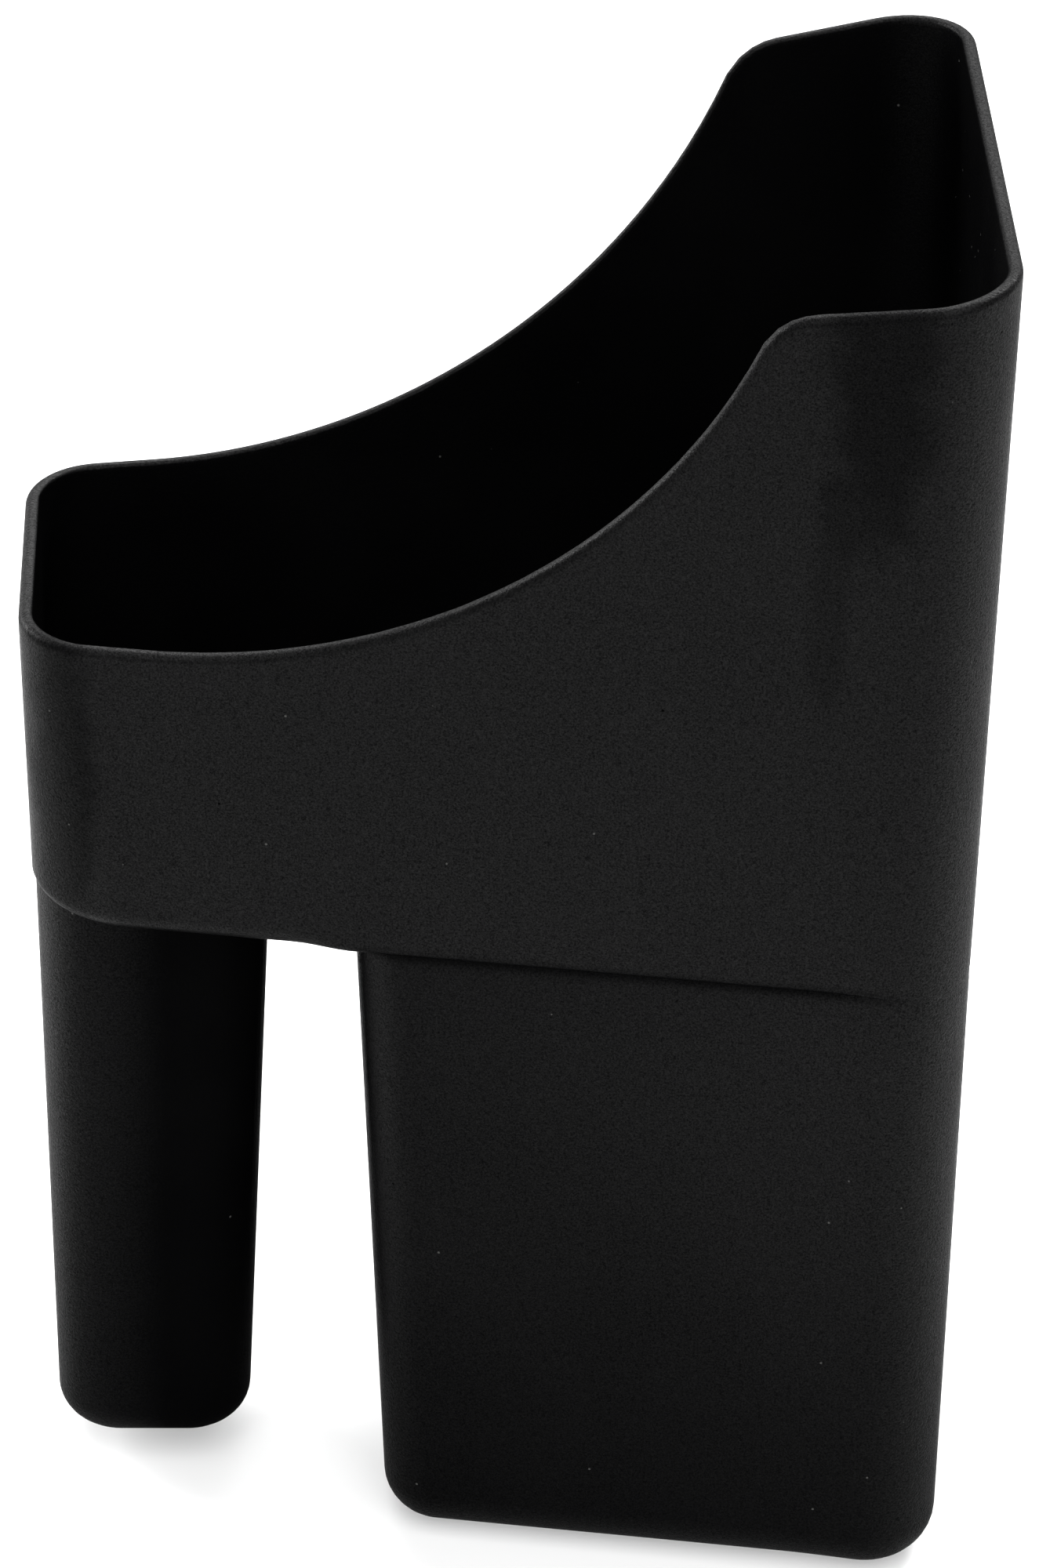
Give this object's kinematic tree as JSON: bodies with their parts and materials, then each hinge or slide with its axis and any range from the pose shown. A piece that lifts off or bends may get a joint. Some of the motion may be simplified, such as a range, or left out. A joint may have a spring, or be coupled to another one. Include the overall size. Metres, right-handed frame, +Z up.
{
  "type": "two-pocket tool holster",
  "caption": "Open-topped wedge-shaped plastic tool holster with a swept rim, a wide box pocket and a narrow tube pocket below.",
  "frame": {"origin": "on the ground under the middle of the holster's bounding box, where the box pocket's flat underside stands", "axes": "+X from the low narrow end to the tall wide end, +Y across the depth, +Z up along the height"},
  "size_m": [0.1989, 0.1432, 0.3128],
  "materials": {
    "black_plastic": "satin moulded black plastic with a fine grain"
  },
  "bodies": {
    "root": {"hopper": "black_plastic", "box_pocket": "black_plastic", "tube_pocket": "black_plastic"}
  },
  "joints": []
}
